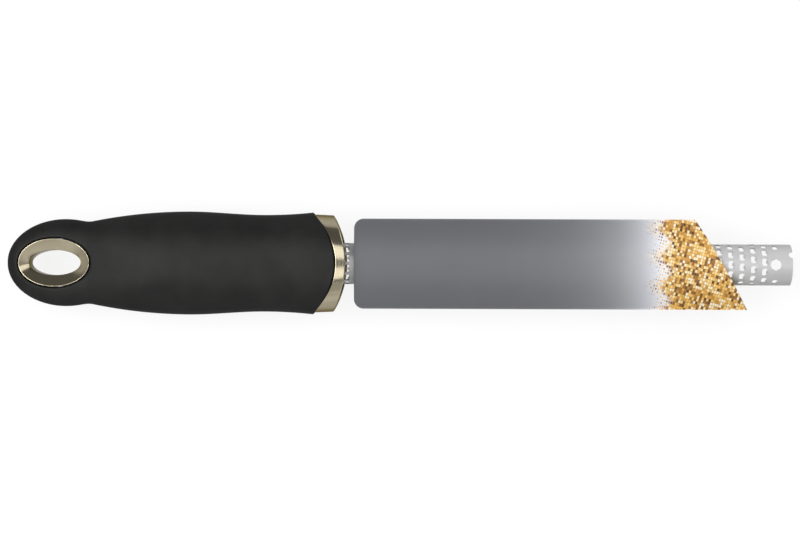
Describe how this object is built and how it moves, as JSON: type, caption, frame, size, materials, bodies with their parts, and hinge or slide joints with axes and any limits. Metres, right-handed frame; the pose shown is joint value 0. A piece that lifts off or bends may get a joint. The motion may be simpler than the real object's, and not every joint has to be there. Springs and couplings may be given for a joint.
{
  "type": "spice grater",
  "caption": "Hand-held spice rasp: toothed half-pipe steel blade in a soft-grip handle with plated ferrule and oval hanging loop, and a slide-off blade sleeve with a slanted end.",
  "frame": {"origin": "middle of the length and of the width, at the underside of the grip", "axes": "+X along the tool from the loop to the blade's tip, +Z out of the toothed side of the blade"},
  "size_m": [0.244, 0.0322, 0.027],
  "materials": {
    "soft_grip": "matte soft touch",
    "core_plastic": "moulded",
    "plated_trim": "polished bronze plating",
    "blade_steel": "etched satin",
    "sleeve_print": "printed satin sheet",
    "sleeve_plain": "plain satin sheet"
  },
  "bodies": {
    "handle": {"grip": "soft_grip", "core_upper": "core_plastic", "core_lower": "core_plastic", "ferrule": "plated_trim", "nose_cap": "core_plastic", "eyelet_front": "plated_trim", "eyelet_rear": "plated_trim", "blade": "blade_steel", "tang_pin": "blade_steel"},
    "sleeve": {"sleeve_front": "sleeve_print", "sleeve_back": "sleeve_plain"}
  },
  "joints": [
    {"name": "sleeve_slide", "type": "slide", "parent": "handle", "child": "sleeve", "axis": [1, 0, 0], "range_m": [0, 0.14]}
  ]
}
